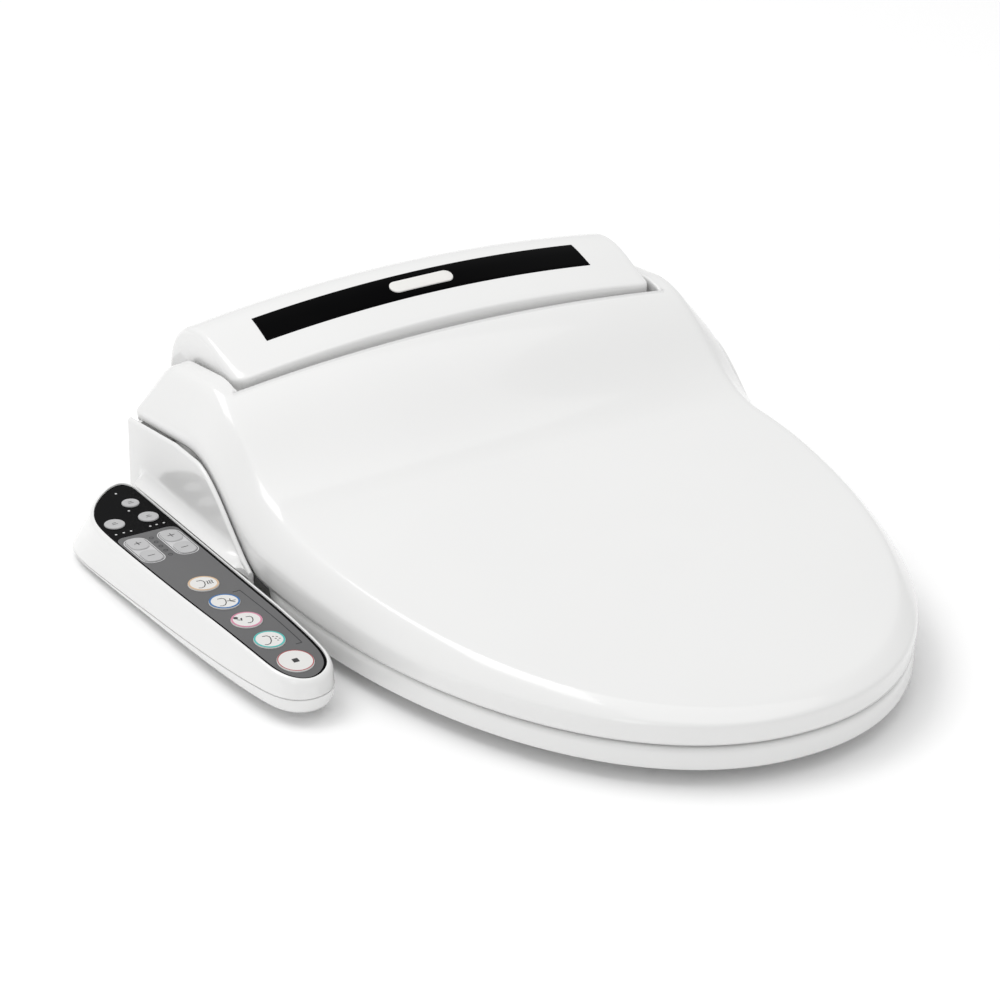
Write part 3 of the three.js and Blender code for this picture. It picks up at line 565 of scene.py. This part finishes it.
def build_window():
    bm = bmesh.new()
    us = spread(0, 1, 64)
    vs = spread(0, 1, 8)
    grid = [[window_point(u, v, 0.25) for u in us] for v in vs]
    grid.insert(0, [window_point(u, -0.012, -0.7) for u in us])
    grid.insert(1, [window_point(u, -0.012, 0.12) for u in us])
    grid.append([window_point(u, 1.012, 0.12) for u in us])
    grid.append([window_point(u, 1.012, -0.7) for u in us])
    add_grid(bm, grid)
    for u in (0, 1):
        side = -0.001 if u == 0 else 1.001
        rim = [window_point(u, v, 0.25) for v in vs]
        low = [window_point(side, v, -0.7) for v in vs]
        add_grid(bm, [rim, low])
    finish_piece(bm, "window_lens", BLACK, "root", ("display_window",), 30)


def build_badge():
    """A plain pill in the middle of the window."""
    half, tall, shift = 22.7, 4.9, -1.3
    centre_y = (WINDOW_FRONT + WINDOW_BACK) / 2 - 0.4
    outline = arc(half - tall, 0, tall, -90, 90, 14) + arc(tall - half, 0, tall, 90, 270, 14)
    bm = bmesh.new()
    rings = []
    for scale, lift in ((1.0, 0.2), (1.0, 0.75), (0.985, 0.98), (0.95, 1.1),
                        (0.8, 1.16), (0.4, 1.2), (0.0, 1.2)):
        ring = []
        for x, y in outline:
            px = x * scale if scale < 0.9 else x - math.copysign(tall * (1 - scale), x)
            py = centre_y + y * scale
            ring.append((px + shift, py, cover_height(px + shift, py) + lift))
        rings.append(ring)
    add_grid(bm, rings, True)
    finish_piece(bm, "badge_pill", BADGE, "root", ("badge",), 40)


BADGE = moulded("badge_ivory", (0.8, 0.79, 0.77), 0.25, 0.02, 0.3, 0.01, 500)
build_cover()
build_window()
build_badge()


# ------------------------------------------------------------------ side panels of the body
CHEEK_FRONT, CHEEK_REAR, CHEEK_THICK = -133.0, 27.9, 3.4
WING_FOOT, WING_REACH, WING_TALL = 36.7, 9.0, 9.5
ARM_BACK = 13.6


def cheek_section(y, side):
    """Outline of a side panel across X, with a rounded lip and, beside the arm, the fillet."""
    out, inner = BODY_HALF, BODY_HALF - CHEEK_THICK
    top = cheek_top(y)
    lip = [(inner, 0.6), (inner, top - 2.4), (inner + 0.1, top - 1.4), (inner + 0.5, top - 0.6),
           (inner + 1.1, top - 0.15), (inner + 1.7, top)]
    for a in (20, 40, 60, 80, 90):
        r = math.radians(a)
        lip.append((out - 1.7 + 1.7 * math.sin(r), top - 1.9 + 1.9 * math.cos(r)))
    high = WING_FOOT + min(WING_TALL, top - WING_FOOT - 2.6)
    foot = WING_FOOT if side < 0 else min(WING_FOOT, high - 0.5)
    reach = WING_REACH * smooth((ARM_BACK + 1 - y) / 12) if side < 0 else 0.0
    wall = [(out, lerp(top - 1.9, high, k)) for k in (0.25, 0.5, 0.75, 1.0)]
    fillet = []
    for a in (8, 20, 32, 45, 58, 70, 80, 86, 90):
        r = math.radians(a)
        fillet.append((out + reach * (1 - math.cos(r)), lerp(high, foot, math.sin(r))))
    low = min(foot, high) - 1.3
    web = foot - 0.25
    under = [(out + reach, web), (out + reach * 0.5, lerp(web, low, 0.5)), (out, low)]
    base = [(out, lerp(low, 0.6, k)) for k in (0.33, 0.66, 0.98)]
    foot_edge = [(out - 0.2, 0.15), (out - 0.6, 0.0), (inner + 0.6, 0.0), (inner + 0.2, 0.15)]
    return [(side * x, y, z) for x, z in lip + wall + fillet + under + base + foot_edge]


def build_cheeks():
    ys = spread(CHEEK_REAR, 10, 12) + spread(10, CHEEK_FRONT, 90)[1:]
    for side, name in ((-1, "left"), (1, "right")):
        bm = bmesh.new()
        rows = add_grid(bm, [cheek_section(y, side) for y in ys], True)
        bm.faces.new(rows[0])
        bm.faces.new(rows[-1])
        finish_piece(bm, f"side_skin_{name}", WHITE, "root",
                     (f"side_panel_{name}",), 38)


build_cheeks()


# ------------------------------------------------------------------ control arm
PANEL_CORNERS = [
    (-200.3, -10), (-200.8, 3), (-204.5, 10), (-211.5, 9.4), (-220, 3.7), (-228, -4), (-234.8, -13),
    (-241.2, -26), (-244.4, -42), (-244.9, -70), (-243.9, -118), (-242.3, -164), (-239.8, -208),
    (-236.7, -240), (-234.2, -253), (-230, -261.5), (-224, -266.4), (-217, -267.4), (-209.5, -264),
    (-203.4, -257), (-200.4, -247), (-199.8, -234), (-200.1, -205), (-200.3, -160), (-200.3, -100),
    (-200.3, -50),
]
SEAM_CORNERS = [
    (-193, -10), (-193, 4), (-196, 11.5), (-207, 13.6), (-222, 13.2), (-236, 10), (-244, 2.5),
    (-248, -12), (-249, -30), (-249, -70), (-248.6, -118), (-247.9, -164), (-246, -208),
    (-243, -240), (-239.5, -256), (-234, -266), (-226.5, -271.2), (-217.5, -272.5), (-208, -269.3),
    (-201, -262), (-197, -251), (-195.5, -236), (-194, -205), (-193, -160), (-193, -100),
    (-193, -50),
]
PER_CORNER = 8


def smooth_loop(corners, grow=0.0, steps=PER_CORNER):
    """A smooth closed outline through its corners, moved out by a distance."""
    n = len(corners)
    line = []
    for i in range(n):
        a, b, d, e = (corners[(i + k) % n] for k in (-1, 0, 1, 2))
        for step in range(steps):
            t = step / steps
            line.append(tuple(
                b[c] + 0.5 * t * (d[c] - a[c] + t * (2 * a[c] - 5 * b[c] + 4 * d[c] - e[c]
                                                     + t * (3 * (b[c] - d[c]) + e[c] - a[c])))
                for c in (0, 1)))
    out = []
    for i, (x, y) in enumerate(line):
        before, after = line[i - 1], line[(i + 1) % len(line)]
        dx, dy = after[0] - before[0], after[1] - before[1]
        size = math.hypot(dx, dy)
        out.append((x + dy / size * grow, y - dx / size * grow))
    return out


def panel_loop(grow=0.0):
    return smooth_loop(PANEL_CORNERS, grow)


def seam_loop(grow=0.0):
    return smooth_loop(SEAM_CORNERS, grow)


def toward_tip(y):
    return clamp01((-30 - y) / 215)


def arm_low(y):
    return 2.5 + 4 * toward_tip(y)


def arm_seam(y):
    return 5.5 + 11.5 * toward_tip(y)


def arm_top(y):
    return panel_top(y) + 1.0


def ring_at(loop, height):
    return [(x, y, height(y)) for x, y in loop]


def between(lower, upper, k):
    return [lerp3(p, q, k) for p, q in zip(lower, upper)]


def build_arm():
    seam = ring_at(seam_loop(), lambda y: arm_seam(y) + 0.9)
    shoulder = ring_at(panel_loop(3.6), lambda y: arm_top(y) - 3.4)
    rings = [ring_at(seam_loop(-2.4), lambda y: arm_seam(y) + 0.35),
             ring_at(seam_loop(-0.5), lambda y: arm_seam(y) + 0.35)]
    rings += [between(seam, shoulder, k) for k in (0, 0.2, 0.4, 0.6, 0.8, 1)]
    for out, down in ((3.3, 2.5), (2.9, 1.75), (2.5, 1.2), (2.1, 0.78), (1.7, 0.46), (1.3, 0.24),
                      (0.9, 0.1), (0.55, 0.04), (0.3, 0.12), (0.2, 0.4), (0.2, 2.2)):
        rings.append(ring_at(panel_loop(out), lambda y, d=down: arm_top(y) - d))
    rings.append(ring_at(panel_loop(-0.8), lambda y: arm_top(y) - 2.4))
    rings.append(ring_at(panel_loop(-0.8), lambda y: arm_top(y) - 5.4))
    bm = bmesh.new()
    add_grid(bm, rings, True, True)
    finish_piece(bm, "arm_upper_skin", WHITE, "root", ("arm_upper_shell",), 40)
    bm = bmesh.new()
    rings = [ring_at(seam_loop(-1.5), arm_seam), ring_at(seam_loop(-0.45), arm_seam),
             ring_at(seam_loop(-0.05), lambda y: arm_seam(y) - 0.35)]
    for inset, k in ((0.15, 0.8), (0.5, 0.6), (1.1, 0.4), (2.0, 0.22),
                     (3.2, 0.1), (4.8, 0.02), (7, 0)):
        rings.append(ring_at(seam_loop(-inset), lambda y, k=k: lerp(arm_low(y), arm_seam(y), k)))
    verts = add_grid(bm, rings, True)
    bm.faces.new(verts[0])
    bm.faces.new(verts[-1])
    finish_piece(bm, "arm_lower_skin", WHITE, "root", ("arm_lower_shell",), 45)


build_arm()


# ------------------------------------------------------------------ panel and keys
ZONE_BACK = -58.0
CAP_RISE = 0.9
MARK_RISE = CAP_RISE + 0.02
FINE_WELD = 0.0002
STROKE_STEP = 3.0


def span_at(loop, y):
    """Left and right edge of a closed outline at a Y."""
    xs = []
    for i, (x1, y1) in enumerate(loop):
        x0, y0 = loop[i - 1]
        if (y0 - y) * (y1 - y) <= 0 and y0 != y1:
            xs.append(lerp(x0, x1, (y - y0) / (y1 - y0)))
    return min(xs), max(xs)


def plate(loop, name, material, body, lift, stands_for=(), rows=60, columns=8, drop=0.3):
    """A thin plate of any rounded outline that follows the panel's slope."""
    low, high = min(p[1] for p in loop) + 0.002, max(p[1] for p in loop) - 0.002
    grid = []
    for t in spread(0, 1, rows):
        y = lerp(low, high, 0.5 - 0.5 * math.cos(math.pi * t))
        x0, x1 = span_at(loop, y)
        grid.append([(x, y, panel_top(y) + lift) for x in spread(x0, x1, columns)])
    bm = bmesh.new()
    add_grid(bm, grid)
    bmesh.ops.recalc_face_normals(bm, faces=bm.faces)
    edges = [e for e in bm.edges if e.is_boundary]
    walls = bmesh.ops.extrude_edge_only(bm, edges=edges)["geom"]
    for v in (g for g in walls if isinstance(g, bmesh.types.BMVert)):
        v.co.z -= drop * MM
    return finish_piece(bm, name, material, body, stands_for, 30, FINE_WELD)


def circle(x, y, r, steps=48):
    return [(x + r * math.cos(a), y + r * math.sin(a)) for a in spread(0, math.tau, steps)[:-1]]


def round_box(x, y, half, tall, r, steps=8):
    out = []
    for cx, cy, start in ((1, -1, -90), (1, 1, 0), (-1, 1, 90), (-1, -1, 180)):
        out += arc(x + cx * (half - r), y + cy * (tall - r), r, start, start + 90, steps)
    return out


def ring_plate(loop_of, name, material, body, slot, lift, r_out, r_in):
    """A flat ring between two outlines on the panel's slope."""
    bm = bmesh.new()
    rings = []
    for grow, h in ((r_out, lift - 0.25), (r_out, lift), (r_in, lift), (r_in, lift - 0.25)):
        rings.append([(x, y, panel_top(y) + h) for x, y in loop_of(grow)])
    add_grid(bm, rings, True, True)
    return finish_piece(bm, name, material, body, (), 30, FINE_WELD)


def stroke(strokes, name, material, body, lift, width=0.45):
    """Printed lines: narrow bands along polylines on the panel's slope."""
    bm = bmesh.new()
    for ends in strokes:
        points = [ends[0]]
        for a, b in zip(ends, ends[1:]):
            count = max(1, math.ceil(math.dist(a, b) / STROKE_STEP))
            points += [(lerp(a[0], b[0], t), lerp(a[1], b[1], t)) for t in spread(0, 1, count)[1:]]
        left, right = [], []
        for i, (x, y) in enumerate(points):
            a, b = points[max(0, i - 1)], points[min(len(points) - 1, i + 1)]
            dx, dy = b[0] - a[0], b[1] - a[1]
            size = math.hypot(dx, dy) or 1
            nx, ny = -dy / size * width / 2, dx / size * width / 2
            left.append((x + nx, y + ny))
            right.append((x - nx, y - ny))
        low = lift - 0.12
        rows = [[(x, y, panel_top(y) + h) for x, y in side]
                for side, h in ((left, low), (left, lift), (right, lift), (right, low))]
        band = add_grid(bm, rows, False, True)
        for k in (0, -1):
            bm.faces.new([row[k] for row in band])
    return finish_piece(bm, name, material, body, (), 30, FINE_WELD)


FILM_BLACK = moulded("film_black", (0.002, 0.002, 0.0024), 0.2, 0.03, 0.0, 0.0015, 900, 0.02)
FILM_GREY = moulded("film_grey", (0.128, 0.128, 0.13), 0.42, 0.06, 0.0, 0.01, 1400, 0.2)
KEY = moulded("key_white", (0.72, 0.715, 0.7), 0.38, 0.05, 0.0, 0.015, 900)
KEY_GREY = moulded("key_grey", (0.46, 0.46, 0.465), 0.4, 0.05, 0.0, 0.015, 900)
PILL_GREY = moulded("pill_grey", (0.56, 0.56, 0.565), 0.4, 0.05, 0.0, 0.015, 900)
INK = moulded("printed_ink", (0.02, 0.02, 0.022), 0.5, 0.05, 0.0, 0.004, 1500)
PALE_INK = moulded("pale_ink", (0.6, 0.6, 0.6), 0.5, 0.05, 0.0, 0.01, 1500)
RING_INKS = {
    "dry": moulded("ring_tan", (0.62, 0.43, 0.27), 0.4, 0.04, 0.0, 0.01, 1200),
    "rear_wash": moulded("ring_blue", (0.004, 0.13, 0.37), 0.4, 0.04, 0.0, 0.01, 1200),
    "front_wash": moulded("ring_pink", (0.6, 0.22, 0.33), 0.4, 0.04, 0.0, 0.01, 1200),
    "bubble": moulded("ring_teal", (0.07, 0.45, 0.42), 0.4, 0.04, 0.0, 0.01, 1200),
    "stop": moulded("ring_red", (0.36, 0.02, 0.03), 0.4, 0.04, 0.0, 0.01, 1200),
}
ROUND_KEYS = {
    "power": (-212, -17, 5.6), "eco": (-211, -40, 6.5), "seat_heat": (-234, -39, 6.5),
    "dry": (-224, -139.5, 9.6), "rear_wash": (-224, -167, 9.6), "front_wash": (-223.5, -194.5, 9.6),
    "bubble": (-222.5, -221.5, 9.6), "stop": (-219.5, -248.5, 11.2),
}
PILL_KEYS = {
    "pressure_down": (-211, -89.5), "pressure_up": (-211, -71),
    "position_back": (-234, -89.5), "position_front": (-234, -71),
}
PILL_HALF, PILL_LONG, PILL_R = 6.0, 8.0, 5.0
RECESS_Y, RECESS_HALF, RECESS_LONG, RECESS_R = -80.2, 7.9, 18.4, 7.0


def grey_zone():
    """Outline of the grey part of the panel, with rounded rear corners."""
    loop = [p for p in panel_loop(-1.7) if p[1] < ZONE_BACK - 6]
    front = sorted(loop, key=lambda p: p[1])[0]
    left = sorted([p for p in loop if p[0] <= front[0]], key=lambda p: p[1])
    right = sorted([p for p in loop if p[0] > front[0]], key=lambda p: -p[1])
    x0, x1 = left[-1][0], right[0][0]
    corner = 5.5
    back = arc(x0 + corner, ZONE_BACK - corner, corner, 180, 90, 8)
    back += arc(x1 - corner, ZONE_BACK - corner, corner, 90, 0, 8)
    return left + back + right


def key_cap(name, loop_of, material):
    """A key: rounded edge and a shallow dish."""
    bm = bmesh.new()
    rings = []
    for grow, h in ((0, -1.2), (0, 0.45), (-0.08, 0.66), (-0.26, 0.82), (-0.55, CAP_RISE),
                    (-1.1, CAP_RISE), (-2.2, 0.88), (-3.6, 0.86), (-5.0, 0.85)):
        rings.append([(x, y, panel_top(y) + h) for x, y in loop_of(grow)])
    faces = add_grid(bm, rings, True)
    bm.faces.new(faces[-1])
    bm.faces.new(faces[0])
    finish_piece(bm, f"{name}_cap", material, f"{name}_key", (f"{name}_button",),
                 30, FINE_WELD)


def curve_points(cx, cy, scale, points):
    return [(cx + x * scale, cy + y * scale) for x, y in points]


def icon_strokes(name, x, y):
    """Plain pictograms: a rounded seat curve with spray, air or bubbles beside it."""
    bowl = [(-2.6, 4.4), (0.3, 4.0), (1.2, 2.4), (1.1, 0.6), (0, -2.4), (-1.8, -4.6),
            (-3.8, -5.1), (-5.4, -4.3)]
    out = [curve_points(x, y, 1.0, bowl)]
    if name == "dry":
        for k in (2.6, 4.1, 5.6):
            out.append([(x + k + 0.45 * math.sin(t * 2.1), y + 1.8 - t * 1.5)
                        for t in spread(0, 3, 8)])
    elif name == "rear_wash":
        out += [[(x + 1.4, y - 0.6), (x + 4.0, y - 1.6), (x + 6.6, y - 1.8)],
                [(x + 3.2, y - 1.4), (x + 4.2, y + 1.4)], [(x + 3.2, y - 1.6), (x + 5.2, y - 4.2)]]
    elif name == "front_wash":
        out = [curve_points(x + 3.0, y - 0.6, 0.8, bowl)]
        for k in (0, 0.45, 0.9):
            out.append([(x - 5.4 + k, y + 2.4 - k), (x - 3.0, y + 0.2),
                        (x - 2.0 - k, y + 2.9 - k * 0.5)])
    else:
        for u, v in ((2.8, 2.0), (4.8, 0.9), (3.2, -0.6), (5.4, -1.6), (3.6, -3.0)):
            out.append([(x + u, y + v), (x + u + 0.9, y + v - 0.7)])
    return out


def build_panel():
    plate(panel_loop(0), "panel_film", FILM_BLACK, "root", 0.0,
          ("panel_fascia",), 140, 14, 1.1)
    plate(grey_zone(), "panel_zone", FILM_GREY, "root", 0.04, (), 120, 12, 0.2)
    for name, x in (("pressure", -211), ("position", -234)):
        def recess(grow, x=x):
            return round_box(x, RECESS_Y, RECESS_HALF + grow, RECESS_LONG + grow, RECESS_R + grow)

        plate(recess(0), f"{name}_recess", PILL_GREY, "root", 0.1)
        ring_plate(recess, f"{name}_outline", INK, "root", "black_gloss", 0.12, -0.75, -1.15)
    for name, (x, y, r) in ROUND_KEYS.items():
        small = r < 8
        key_cap(name, lambda g, x=x, y=y, r=r: circle(x, y, r + g), KEY_GREY if small else KEY)
        body = f"{name}_key"
        if small:
            marks = [[(x - 1.8, y - 0.9), (x + 1.8, y - 0.9)],
                     [(x - 1.3, y + 0.9), (x + 1.3, y + 0.9)]]
            stroke(marks, f"{name}_mark", INK, body, MARK_RISE, 0.5)
            continue
        if name == "stop":
            band = (-0.35, -0.95)
            plate(round_box(x, y, 1.9, 1.9, 0.3), "stop_mark", INK, body,
                  MARK_RISE, (), 12, 4)
        else:
            band = (-0.2, -1.35)
            stroke(icon_strokes(name, x, y), f"{name}_icon", INK, body,
                   MARK_RISE, 0.6)
        ring_plate(lambda g, x=x, y=y, r=r: circle(x, y, r + g, 72), f"{name}_ring",
                   RING_INKS[name], body, "panel_grey", CAP_RISE + 0.03, *band)
    plate(circle(-228.6, -190.0, 1.5, 24), "front_wash_dot", INK, "front_wash_key",
          CAP_RISE + 0.01, (), 12, 4)
    for name, (x, y) in PILL_KEYS.items():
        def outline(grow, x=x, y=y):
            return round_box(x, y, PILL_HALF + grow * 0.6, PILL_LONG + grow, PILL_R + grow * 0.6)

        key_cap(name, outline, KEY_GREY)
        marks = [[(x - 2.4, y), (x + 2.4, y)]]
        if name.endswith("up") or name.endswith("front"):
            marks.append([(x, y - 2.4), (x, y + 2.4)])
        stroke(marks, f"{name}_mark", INK, f"{name}_key", MARK_RISE, 0.55)
    lamps = [(-213.7, 0, 0.8), (-217.6, -26, 0.8)]
    lamps += [(x, -52, 0.75) for x in (-239.4, -234.1, -229.1, -215.8, -211.4, -206.4)]
    for i, (x, y, r) in enumerate(lamps):
        plate(circle(x, y, r, 20), f"lamp_{i + 1}", PALE_INK, "root", 0.12, (), 8, 4)
    for i, y in enumerate(spread(-67, -93, 4)):
        ring_plate(lambda g, y=y: circle(-222.6, y, 1.5 + g, 20), f"level_lamp_{i + 1}", INK,
                   "root", "black_gloss", 0.14, 0, -0.4)
    guide = [(-213.4, -157.5), (-208.6, -157.5), (-206.4, -232), (-210.4, -232)]
    stroke([guide[:2], guide[1:3], guide[2:]], "wash_guide", INK, "root", 0.14, 0.5)


build_panel()


# ------------------------------------------------------------------ CAD nodes that stay as they are
STAYING = {
    "base_housing": WHITE,
    "panel_board": BOARD, "main_board": BOARD, "dryer_flap": WHITE,
    "mounting_bracket": STEEL, "hinge_pin_left": STEEL, "hinge_pin_right": STEEL,
    "tank_heating_element": STEEL, "blower_motor": STEEL, "seat_heater": COPPER,
    "dryer_heating_element": COPPER, "release_button": GREY, "nozzle_housing": GREY,
    "inlet_filter": GREY, "blower_impeller": GREY, "water_inlet": PALE, "water_tank": PALE,
    "rear_wash_nozzle": PALE, "front_wash_nozzle": PALE,
}
for node, obj in NODES.items():
    other = RUBBER if "buffer" in node else PALE if node.endswith("button") else DARK
    material = STAYING.get(node, other)
    if not obj.material_slots:
        obj.data.materials.append(material)
    for place in obj.material_slots:
        place.material = material


# ------------------------------------------------------------------ floor, light and camera
def build_stage():
    mesh = bpy.data.meshes.new("floor")
    size = 6.0
    corners = [(-size, -size, 0), (size, -size, 0), (size, size, 0), (-size, size, 0)]
    mesh.from_pydata(corners, [], [(0, 1, 2, 3)])
    floor = bpy.data.objects.new("floor", mesh)
    mat, _ = new_material("floor_paint", (0.985, 0.985, 0.985), 0.7)
    mesh.materials.append(mat)
    bpy.context.scene.collection.objects.link(floor)
    floor.location.z = -0.0008


def area_light(name, place, target, size, power):
    data = bpy.data.lights.new(name, "AREA")
    data.shape = "RECTANGLE"
    data.size, data.size_y = size
    data.energy = power
    lamp = bpy.data.objects.new(name, data)
    bpy.context.scene.collection.objects.link(lamp)
    lamp.location = place
    lamp.rotation_euler = (Vector(place) - Vector(target)).to_track_quat("Z", "Y").to_euler()


def build_lights():
    world = bpy.data.worlds.new("studio")
    bpy.context.scene.world = world
    world.use_nodes = True
    back = world.node_tree.nodes["Background"]
    back.inputs["Color"].default_value = (1, 1, 1, 1)
    back.inputs["Strength"].default_value = 0.74
    centre = (0, -0.2, 0.06)
    area_light("key", (-0.9, 0.7, 2.5), centre, (1.8, 1.4), 24)
    area_light("top", (0.3, -0.4, 2.6), centre, (2.0, 2.0), 8)
    area_light("side", (-1.9, -1.6, 1.5), centre, (0.5, 1.6), 3)
    bpy.context.scene.view_settings.view_transform = "Standard"
    bpy.context.scene.view_settings.look = "None"


def build_camera():
    a, e = math.radians(CAMERA_AZIMUTH), math.radians(CAMERA_ELEVATION)
    back = Vector((math.sin(a) * math.cos(e), -math.cos(a) * math.cos(e), math.sin(e)))
    data = bpy.data.cameras.new("camera")
    data.sensor_width = 36
    data.lens = CAMERA_LENS
    data.clip_end = 50
    camera = bpy.data.objects.new("camera", data)
    bpy.context.scene.collection.objects.link(camera)
    camera.location = (Vector(CAMERA_TARGET) + back * CAMERA_DISTANCE) * MM
    camera.rotation_euler = back.to_track_quat("Z", "Y").to_euler()
    bpy.context.scene.camera = camera


build_stage()
build_lights()
build_camera()
